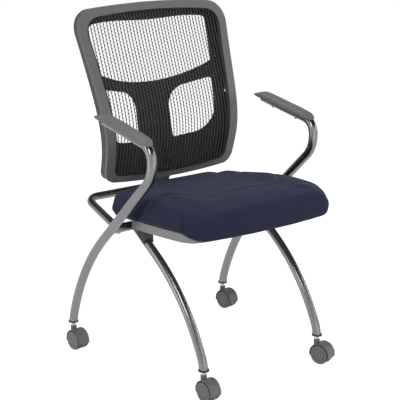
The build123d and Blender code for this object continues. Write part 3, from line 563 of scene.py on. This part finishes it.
def net_tree():
    """Upright yarns repeated across a side profile, thick and thin by turns, laced by zigzag threads."""
    tree = GeometryTree("back_net", counts=["Count"], sizes=[
        "Pitch", "Period", "Yarn Width", "Yarn Depth", "Swell", "Lace", "Half Low", "Half High", "Low", "High",
        "Rise", "Sag"])
    calc, value = tree.math, tree.value
    count, pitch, low, high = (value[label] for label in ("Count", "Pitch", "Low", "High"))

    half_span = calc("MULTIPLY", calc("SUBTRACT", count, 1.0), calc("MULTIPLY", pitch, 0.5))
    start = tree.out("ShaderNodeCombineXYZ", {0: calc("MULTIPLY", half_span, -1.0)})
    step = tree.out("ShaderNodeCombineXYZ", {0: pitch})
    line = tree.out("GeometryNodeMeshLine", {"Count": count, "Start Location": start, "Offset": step})
    index = tree.out("GeometryNodeInputIndex")
    marked = tree.out("GeometryNodeStoreNamedAttribute", {"Geometry": line, "Name": "strand", "Value": index},
                      data_type="FLOAT", domain="POINT")
    many = tree.out("GeometryNodeInstanceOnPoints", {"Points": marked, "Instance": value["Geometry"]})
    chains = tree.out("GeometryNodeRealizeInstances", {0: many})

    x, _, z = tree.add("ShaderNodeSeparateXYZ", {0: tree.out("GeometryNodeInputPosition")}).outputs
    share = calc("DIVIDE", calc("SUBTRACT", z, low), calc("SUBTRACT", high, low))
    widening = calc("SUBTRACT", value["Half High"], value["Half Low"])
    half = calc("ADD", value["Half Low"], calc("MULTIPLY", share, widening))
    bow = calc("POWER", calc("DIVIDE", x, half), 2.0)
    too_wide = calc("GREATER_THAN", calc("ABSOLUTE", x), half)
    too_high = calc("GREATER_THAN", z, calc("SUBTRACT", high, calc("MULTIPLY", bow, value["Rise"])))
    too_low = calc("LESS_THAN", z, calc("ADD", low, calc("MULTIPLY", bow, value["Sag"])))
    outside = calc("MAXIMUM", too_wide, calc("MAXIMUM", too_high, too_low))
    kept = tree.out("GeometryNodeDeleteGeometry", {"Geometry": chains, "Selection": outside}, domain="POINT")

    strand = tree.out("GeometryNodeInputNamedAttribute", {"Name": "strand"}, data_type="FLOAT")
    turns = calc("DIVIDE", calc("MULTIPLY", z, 2 * math.pi), value["Period"])
    wave = calc("COSINE", calc("ADD", turns, calc("MULTIPLY", strand, math.pi)))
    curves = tree.out("GeometryNodeMeshToCurve", {0: kept})
    faced = tree.out("GeometryNodeSetCurveNormal", {"Curve": curves, "Normal": (1.0, 0.0, 0.0)}, mode="FREE")
    swell = calc("ADD", 1.0, calc("MULTIPLY", wave, value["Swell"]))
    ring = tree.out("GeometryNodeCurvePrimitiveCircle", {"Resolution": 6, "Radius": 0.5})
    flat = tree.out("ShaderNodeCombineXYZ", {0: value["Yarn Width"], 1: value["Yarn Depth"], 2: 1.0})
    section = tree.out("GeometryNodeTransform", {"Geometry": ring, "Scale": flat})
    yarns = tree.out("GeometryNodeCurveToMesh", {"Curve": faced, "Profile Curve": section, "Fill Caps": True,
                                                 "Scale": swell})

    lean = calc("MULTIPLY", calc("ARCSINE", calc("MULTIPLY", wave, 0.999)), pitch)
    shift = tree.out("ShaderNodeCombineXYZ", {0: calc("MULTIPLY", lean, 1 / math.pi)})
    threads = tree.out("GeometryNodeMeshToCurve",
                       {0: tree.out("GeometryNodeSetPosition", {"Geometry": kept, "Offset": shift})})
    thin = tree.out("GeometryNodeCurvePrimitiveCircle", {"Resolution": 3, "Radius": value["Lace"]})
    lacing = tree.out("GeometryNodeCurveToMesh", {"Curve": threads, "Profile Curve": thin, "Fill Caps": True})

    both = tree.add("GeometryNodeJoinGeometry")
    tree.feed(both.inputs[0], yarns)
    tree.feed(both.inputs[0], lacing)
    tree.finish(both.outputs[0])
    return tree


def is_lip(edge, middle):
    """True where a front face meets a wall that is square to it and looks towards the middle."""
    if len(edge.link_faces) != 2:
        return False
    front, wall = sorted(edge.link_faces, key=lambda face: face.normal.y)
    centre = (edge.verts[0].co + edge.verts[1].co) / 2
    inward = Vector((middle.x - centre.x, 0.0, middle.z - centre.z)).normalized()
    square = abs(front.normal.dot(wall.normal)) < 0.3
    return front.normal.y < -0.7 and square and wall.normal.dot(inward) > 0.3


def inner_lip(node, name):
    """Edges of a frame-like node where its front face meets the walls of its opening, as a piece."""
    shape = merged(NODES[node].data)
    shape.normal_update()
    low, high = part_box(node)
    lip = [edge for edge in shape.edges if is_lip(edge, (low + high) / 2)]
    corners = list(dict.fromkeys(corner for edge in lip for corner in edge.verts))
    number = {corner: index for index, corner in enumerate(corners)}
    points = [tuple(corner.co) for corner in corners]
    edges = [tuple(number[corner] for corner in edge.verts) for edge in lip]
    shape.free()
    return mesh_object(name, points, edges)


def bead_tree():
    """A round bead laid along the edges that come in; here the black bead that is painted shadow of the gap
    round the net.
    """
    tree = GeometryTree("bead", sizes=["Radius"])
    path = tree.out("GeometryNodeMeshToCurve", {0: tree.value["Geometry"]})
    ring = tree.out("GeometryNodeCurvePrimitiveCircle", {"Resolution": 8, "Radius": tree.value["Radius"]})
    tree.finish(tree.out("GeometryNodeCurveToMesh", {"Curve": path, "Profile Curve": ring}))
    return tree


# ---------------------------------------------------------------- back shell
RING_SIDE = 0.8         # share of the shell's half width beyond which its outer walls lie
RING_TOP = 0.05         # and how far from its top and bottom
RING_BOTTOM = 0.04


def colour_ring(shell):
    """Give the shell's outer walls its second material."""
    low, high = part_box("back_shell")
    for face in shell.data.polygons:
        normal, place = face.normal, face.center
        across = normal.x * place.x > 0 and abs(normal.x) > 0.5 and abs(place.x) > RING_SIDE * high.x
        upper = normal.z > 0.5 and place.z > high.z - RING_TOP
        lower = normal.z < -0.5 and place.z < low.z + RING_BOTTOM
        face.material_index = int(abs(normal.y) < 0.3 and (across or upper or lower))


# ---------------------------------------------------------------- arm pads
PAD_GRID = 0.0016
PAD_TIP = 0.02          # share of nose and tail at which they stop getting thinner


def sculpt_pad(piece, settings):
    """Dome the pad's top and draw its nose and tail down to a thin rim."""
    points = positions(piece)
    x = points[:, 0]
    slope = np.polyfit(points[:, 1], points[:, 2], 1)[0]
    run = math.hypot(1.0, slope)
    along = (points[:, 1] + slope * points[:, 2]) / run
    above = (points[:, 2] - slope * points[:, 1]) / run
    along -= along.min()
    nose = np.clip(along / settings.pad_nose, PAD_TIP, 1.0)
    tail = np.clip((along.max() - along) / settings.pad_tail, PAD_TIP, 1.0)
    round_off = np.sqrt(1 - (1 - nose) ** 2) * np.sqrt(1 - (1 - tail) ** 2)
    middle, half = (x.min() + x.max()) / 2, (x.max() - x.min()) / 2
    across = np.clip(np.abs(x - middle) / half, 0.0, 1.0)
    keep = round_off * (1 - settings.pad_dome * across ** 2)
    lower = np.maximum(above - above.min() - settings.pad_rim, 0.0) * (1 - keep)
    points[:, 2] -= lower / run
    points[:, 1] += lower * slope / run
    place_points(piece, points)


# ---------------------------------------------------------------- settings
class ChairSettings(bpy.types.PropertyGroup):
    """Sizes and colours that a user may change"""

    tube_colour: FloatVectorProperty(
        name="Tube colour", description="Gunmetal of the bent tubes", default=(0.21, 0.211, 0.216),
        subtype="COLOR", size=3)
    tube_roughness: FloatProperty(
        name="Tube roughness", description="Roughness of the tubes", default=0.25, min=0.0, max=1.0,
        subtype="FACTOR")
    caster_colour: FloatVectorProperty(
        name="Caster colour", description="Moulded caster hoods and wheel faces", default=(0.17, 0.17, 0.175),
        subtype="COLOR", size=3)
    plastic_colour: FloatVectorProperty(
        name="Pan colour", description="Seat pan", default=(0.27, 0.27, 0.265), subtype="COLOR", size=3)
    dark_colour: FloatVectorProperty(
        name="Bezel colour", description="Back frame", default=(0.16, 0.16, 0.163), subtype="COLOR", size=3)
    shell_colour: FloatVectorProperty(
        name="Shell colour", description="Black shell behind the net", default=(0.014, 0.014, 0.0145),
        subtype="COLOR", size=3)
    pad_colour: FloatVectorProperty(
        name="Arm pad colour", description="Soft-touch skin of the arm pads", default=(0.175, 0.175, 0.18),
        subtype="COLOR", size=3)
    pad_rim: FloatProperty(
        name="Pad rim", description="Height of the arm pad's thin lower rim", default=0.004,
        unit="LENGTH", precision=4)
    pad_nose: FloatProperty(
        name="Pad nose", description="Length of the pad's front that is drawn down", default=0.065,
        unit="LENGTH")
    pad_tail: FloatProperty(
        name="Pad tail", description="Length of the pad's rear that is drawn down", default=0.050,
        unit="LENGTH")
    pad_dome: FloatProperty(
        name="Pad dome", description="Share of its height that the pad loses at its edges", default=0.2,
        min=0.0, max=1.0, subtype="FACTOR")
    cloth_colour: FloatVectorProperty(
        name="Cloth colour", description="Seat upholstery", default=(0.022, 0.026, 0.058),
        subtype="COLOR", size=3)
    cloth_sheen: FloatProperty(
        name="Cloth sheen", description="Sheen of the upholstery", default=0.12, min=0.0, max=1.0,
        subtype="FACTOR")
    yarn_pitch: FloatProperty(
        name="Yarn pitch", description="Repeat of the seat cloth's weave", default=0.0016,
        unit="LENGTH", precision=5)
    cushion_voxel: FloatProperty(
        name="Cushion grid", description="Mesh size of the cushion cover", default=0.005,
        unit="LENGTH", precision=4)
    cushion_pressure: FloatProperty(
        name="Cushion pressure", description="Pressure that swells the cover", default=12.0)
    cushion_cap: FloatProperty(
        name="Cushion swell", description="Furthest that a point of the cover may move", default=0.005,
        unit="LENGTH")
    cushion_relax: IntProperty(
        name="Cushion relax", description="Passes that even out the swollen cover", default=14, min=0)
    cushion_hold: FloatProperty(
        name="Cushion hold", description="Height above the pivot to which the cover is held", default=0.034,
        unit="LENGTH")
    dish_depth: FloatProperty(
        name="Dish depth", description="Depth of the sitting dish", default=0.005, unit="LENGTH", precision=4)
    dish_slope: FloatProperty(
        name="Dish slope", description="Length of the slope into the dish", default=0.055, unit="LENGTH")
    crease_depth: FloatProperty(
        name="Crease depth", description="Depth of the crease behind the thigh rolls", default=0.008,
        unit="LENGTH", precision=4)
    crease_width: FloatProperty(
        name="Crease width", description="Half width of that crease at the sides", default=0.015,
        unit="LENGTH", precision=4)
    crown_rise: FloatProperty(
        name="Crown", description="Rise of the cushion's top", default=0.005, unit="LENGTH", precision=4)
    thigh_rise: FloatProperty(
        name="Thigh rise", description="Rise of the side edges beside the thighs", default=0.008,
        unit="LENGTH", precision=4)
    corner_fall: FloatProperty(
        name="Corner fall", description="Drop of the cushion's top at its front corners", default=0.013,
        unit="LENGTH", precision=4)
    tuck_width: FloatProperty(
        name="Tuck width", description="Half width of the corner tucks", default=0.0032,
        unit="LENGTH", precision=4)
    net_colour: FloatVectorProperty(
        name="Net colour", description="Yarn of the back's net", default=(0.056, 0.056, 0.057),
        subtype="COLOR", size=3)
    net_pitch: FloatProperty(
        name="Net pitch", description="Distance from yarn to yarn", default=0.0105, unit="LENGTH", precision=4)
    net_period: FloatProperty(
        name="Net period", description="Upright repeat of the net", default=0.0098, unit="LENGTH", precision=4)
    net_width: FloatProperty(
        name="Net yarn width", description="Mean width of a yarn", default=0.0031, unit="LENGTH", precision=4)
    # the bead round the net is painted shadow of the gap between frame and net
    bead_radius: FloatProperty(
        name="Bead radius", description="Radius of the bead round the net", default=0.0015,
        unit="LENGTH", precision=4)


def chair():
    return bpy.context.scene.chair


# ---------------------------------------------------------------- operators
class CHAIR_OT_frame(bpy.types.Operator):
    """Finish the bent tubes, the plugs in their ends and the back's bracket"""

    bl_idname = "chair.frame"
    bl_label = "Tube frame"

    def execute(self, context):
        metal, black = tube_metal(chair()), black_plastic()
        for node in ("cross_tube", "back_hoop"):
            dress(node, metal)
        for side in SIDES:
            dress("arm_tube_" + side, metal)
            dress("front_leg_" + side, metal)
            dress("tube_cap_" + side, black)
        for corner in CORNERS:
            dress("leg_plug_" + corner, black)
        bracket = moulded("bracket_paint", BLACK, roughness=0.4, grain=700.0, bump=0.06, gloss=0.15)
        dress("back_bracket", bracket)
        dress("back_bolts", moulded("black_bolt", BLACK, roughness=0.4, grain=900.0, bump=0.06, gloss=0.3))
        return {"FINISHED"}


class CHAIR_OT_casters(bpy.types.Operator):
    """Finish the hoods, stems, axles and wheels of the four casters"""

    bl_idname = "chair.casters"
    bl_label = "Casters"

    def execute(self, context):
        settings = chair()
        hood = moulded("caster_hood", settings.caster_colour, roughness=0.42, grain=1500.0)
        steel = zinc_steel()
        for corner in CORNERS:
            dress("caster_hood_" + corner, hood)
            dress("caster_stem_" + corner, steel)
            dress("caster_axle_" + corner, steel)
            for side in SIDES:
                node = "wheel_" + side + "_" + corner
                dress(node, wheel_plastic(settings, node, corner))
        return {"FINISHED"}


class CHAIR_OT_seat_base(bpy.types.Operator):
    """Finish the pan, board, hinge brackets, bushes, rests and screws under the seat"""

    bl_idname = "chair.seat_base"
    bl_label = "Seat base"

    def execute(self, context):
        dress("seat_pan", moulded("pan_plastic", chair().plastic_colour, roughness=0.45))
        dress("seat_board", plywood())
        dress("bracket_screws", own_finish("zinc_steel"))
        dress("pan_screws", own_finish("zinc_steel"))
        hinge = moulded("hinge_paint", (0.10, 0.10, 0.102), roughness=0.35, grain=700.0, bump=0.06)
        nylon = moulded("bush_nylon", (0.03, 0.03, 0.03))
        rubber_and_gap_shadow = moulded("rest_rubber", (0.012, 0.012, 0.012), roughness=0.75, grain=900.0, bump=0.2)
        for side in SIDES:
            dress("pivot_bracket_" + side, hinge)
            dress("pivot_bush_" + side, nylon)
            dress("seat_rest_" + side, black_plastic())
            dress("rest_pad_" + side, rubber_and_gap_shadow)
        return {"FINISHED"}


class CHAIR_OT_cushion(bpy.types.Operator):
    """Make the padded seat cushion with its dish, crease and corner tucks"""

    bl_idname = "chair.cushion"
    bl_label = "Seat cushion"

    def execute(self, context):
        settings = chair()
        piece = even_copy("seat_cushion", "cushion_cover", settings.cushion_voxel)
        inflate(piece, settings)
        finer = piece.modifiers.new("finer", "SUBSURF")
        finer.levels = 1
        finer.render_levels = 1
        apply_modifiers(piece)
        sculpt_seat(piece, settings)
        smooth_shade(piece)
        paint(piece, seat_cloth(settings))
        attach(piece, "seat")
        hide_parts("seat_cushion")
        return {"FINISHED"}


class CHAIR_OT_back(bpy.types.Operator):
    """Finish the back's frame, shell and screws, and lay a black bead round the net as painted shadow of the
    gap between frame and net
    """

    bl_idname = "chair.back"
    bl_label = "Back frame and shell"

    def execute(self, context):
        settings = chair()
        dress("back_frame", moulded("bezel_plastic", settings.dark_colour, roughness=0.45))
        black = moulded("shell_plastic", settings.shell_colour, gloss=0.2)
        colour_ring(dress("back_shell", black, own_finish("bezel_plastic")))
        dress("shell_screws", moulded("shell_screw", BLACK, grain=900.0, bump=0.06, gloss=0.2))
        # painted shadow: a black bead along the frame's inner lip stands for the dark gap between frame and net
        bead = inner_lip("back_frame", "net_bead")
        rubber_and_gap_shadow = moulded("bead_rubber", (0.006, 0.006, 0.006), roughness=0.6)
        bead_tree().run(bead, {"Radius": settings.bead_radius, "Material": rubber_and_gap_shadow})
        smooth_shade(bead)
        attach(bead, "frame")
        return {"FINISHED"}


class CHAIR_OT_net(bpy.types.Operator):
    """Make the open net that is stretched across the back"""

    bl_idname = "chair.net"
    bl_label = "Back net"

    def execute(self, context):
        settings = chair()
        low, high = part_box("back_mesh")
        sheet = positions(NODES["back_mesh"])
        lower = sheet[sheet[:, 2] < low.z + NET_LOWER_PART]
        half_low = float(np.abs(lower[:, 0]).max()) - NET_MARGIN
        half_high = (high.x - low.x) / 2 - NET_MARGIN
        heights, depths = side_profile("back_mesh")
        z = np.arange(heights[0], heights[-1], settings.net_period / NET_SAMPLES)
        y = np.interp(z, heights, depths)
        chain = [(index, index + 1) for index in range(len(z) - 1)]
        piece = mesh_object("back_net", np.column_stack([np.zeros(len(z)), y, z]).tolist(), chain)
        net_tree().run(piece, {
            "Pitch": settings.net_pitch, "Count": int(2 * half_high / settings.net_pitch),
            "Period": settings.net_period, "Yarn Width": settings.net_width, "Yarn Depth": NET_DEPTH,
            "Swell": NET_SWELL, "Lace": NET_LACE, "Half Low": half_low, "Half High": half_high,
            "Low": low.z + NET_MARGIN, "High": high.z - NET_MARGIN, "Rise": NET_RISE, "Sag": NET_SAG,
            "Material": net_yarn(settings)})
        smooth_shade(piece)
        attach(piece, "frame")
        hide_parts("back_mesh")
        return {"FINISHED"}


class CHAIR_OT_arms(bpy.types.Operator):
    """Finish the arm pads and their screws"""

    bl_idname = "chair.arms"
    bl_label = "Arm pads"

    def execute(self, context):
        settings = chair()
        skin = moulded("pad_skin", settings.pad_colour, grain=1300.0, bump=0.15)
        for side in SIDES:
            node = "arm_pad_" + side
            pad = even_copy(node, node + "_skin", PAD_GRID)
            sculpt_pad(pad, settings)
            smooth_shade(pad)
            paint(pad, skin)
            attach(pad, "frame")
            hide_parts(node)
        dress("pad_screws", moulded("black_screw", (0.02, 0.02, 0.021), roughness=0.35, grain=900.0, bump=0.06))
        return {"FINISHED"}


# ---------------------------------------------------------------- stage
FLOOR_HALF = 6.0
FLOOR_GLOW = 0.88
SOFT_LIGHT = 0.26
CEILING_START = 0.25    # upward part of the direction at which the cove begins to darken
CEILING_FULL = 0.55
CEILING_TONE = 0.02
LAMPS = (               # name, place, target, size, power
    ("key", (-2.2, -1.6, 2.6), (0.0, 0.0, 0.4), (0.3, 1.4), 34.0),
    ("fill", (2.6, -1.8, 1.6), (0.0, 0.0, 0.5), (0.3, 1.4), 15.0),
    ("top", (0.2, 0.8, 3.0), (0.0, 0.0, 0.3), (1.6, 1.0), 20.0),
    ("left_strip", (-1.55, 0.39, 0.8), (0.0, 0.0, 0.8), (0.4, 1.5), 4.6),
    ("front_strip", (0.08, -1.6, 0.8), (0.0, 0.0, 0.8), (0.4, 1.5), 4.6),
)
CAMERA_AZIMUTH = -38.109            # degrees from straight in front, and above the floor
CAMERA_ELEVATION = 15.178
CAMERA_DISTANCE = 3.2359
CAMERA_TARGET = (-0.0034, 0.0311, 0.4414)
CAMERA_LENS = 105.43                # mm
CAMERA_SENSOR = 36.0
CAMERA_REACH = 50.0                 # m to which it sees


def place_object(name, data, place, look):
    """A lamp or camera at its place, turned to look along a direction."""
    thing = new_object(name, data)
    thing.location = place
    thing.rotation_euler = look.to_track_quat("-Z", "Y").to_euler()
    return thing


def area_lamp(name, place, target, size, power):
    data = bpy.data.lights.new(name, "AREA")
    data.shape = "RECTANGLE"
    data.size, data.size_y = size
    data.energy = power
    place_object(name, data, place, Vector(target) - Vector(place))


def photo_camera():
    """Camera at the photograph's viewing angle."""
    azimuth, elevation = math.radians(CAMERA_AZIMUTH), math.radians(CAMERA_ELEVATION)
    level = math.cos(elevation)
    back = Vector((math.sin(azimuth) * level, -math.cos(azimuth) * level, math.sin(elevation)))
    data = bpy.data.cameras.new("camera")
    data.lens = CAMERA_LENS
    data.sensor_width = CAMERA_SENSOR
    data.clip_end = CAMERA_REACH
    return place_object("camera", data, Vector(CAMERA_TARGET) + back * CAMERA_DISTANCE, -back)


def paper_floor():
    """Wide pale floor that shows white and still takes the chair's shadow."""
    edge = FLOOR_HALF
    corners = [(-edge, -edge, 0.0), (edge, -edge, 0.0), (edge, edge, 0.0), (-edge, edge, 0.0)]
    floor = mesh_object("floor", corners, faces=[(0, 1, 2, 3)])
    paper = Shader("floor_paper")
    glow = paper.math("MULTIPLY", paper.backdrop_rays(), FLOOR_GLOW)
    paper.set(Base_Color=(0.5, 0.5, 0.5, 1.0), Roughness=0.9, Specular_IOR_Level=0.0, Emission_Color=WHITE,
              Emission_Strength=glow)
    paint(floor, paper.material)


def studio_world():
    """White cove with a dark ceiling, as the camera and the gloss see it; even soft light for the rest."""
    world = bpy.data.worlds.new("studio")
    world.use_nodes = True
    sky = Nodes(world.node_tree)
    way = sky.add("ShaderNodeSeparateXYZ", {0: sky.out("ShaderNodeTexCoord")})
    height = sky.out("ShaderNodeMapRange", {"Value": way.outputs[2], "From Min": CEILING_START,
                                            "From Max": CEILING_FULL}, interpolation_type="SMOOTHSTEP")
    cove = sky.mix(height, WHITE, shade(WHITE, CEILING_TONE))
    backdrop = sky.out("ShaderNodeBackground", {"Color": cove, "Strength": 1.0})
    soft = sky.tree.nodes["Background"]
    sky.feed(soft.inputs["Color"], WHITE)
    sky.feed(soft.inputs["Strength"], SOFT_LIGHT)
    shown = sky.out("ShaderNodeMixShader", {0: sky.backdrop_rays(), 1: soft.outputs[0], 2: backdrop})
    sky.feed(sky.tree.nodes["World Output"].inputs[0], shown)
    return world


class CHAIR_OT_stage(bpy.types.Operator):
    """Make the pale floor, the lights, the world and the camera"""

    bl_idname = "chair.stage"
    bl_label = "Stage"

    def execute(self, context):
        scene = bpy.context.scene
        scene.view_settings.view_transform = "Standard"
        paper_floor()
        scene.world = studio_world()
        for lamp in LAMPS:
            area_lamp(*lamp)
        scene.camera = photo_camera()
        return {"FINISHED"}


class CHAIR_PT_panel(bpy.types.Panel):
    """Lists the pieces of the chair"""

    bl_idname = "CHAIR_PT_panel"
    bl_label = "Nesting Chair"
    bl_space_type = "VIEW_3D"
    bl_region_type = "UI"
    bl_category = "Chair"

    def draw(self, context):
        for operator in OPERATORS:
            self.layout.operator(operator.bl_idname)


OPERATORS = (CHAIR_OT_stage, CHAIR_OT_frame, CHAIR_OT_casters, CHAIR_OT_seat_base, CHAIR_OT_cushion,
             CHAIR_OT_back, CHAIR_OT_net, CHAIR_OT_arms)
CLASSES = (ChairSettings, *OPERATORS, CHAIR_PT_panel)


def register():
    for one in CLASSES:
        bpy.utils.register_class(one)
    bpy.types.Scene.chair = PointerProperty(type=ChairSettings)


def unregister():
    del bpy.types.Scene.chair
    for one in reversed(CLASSES):
        bpy.utils.unregister_class(one)


def main():
    register()
    for operator in OPERATORS:
        group, name = operator.bl_idname.split(".")
        getattr(getattr(bpy.ops, group), name)()


if __name__ == "__main__":
    main()
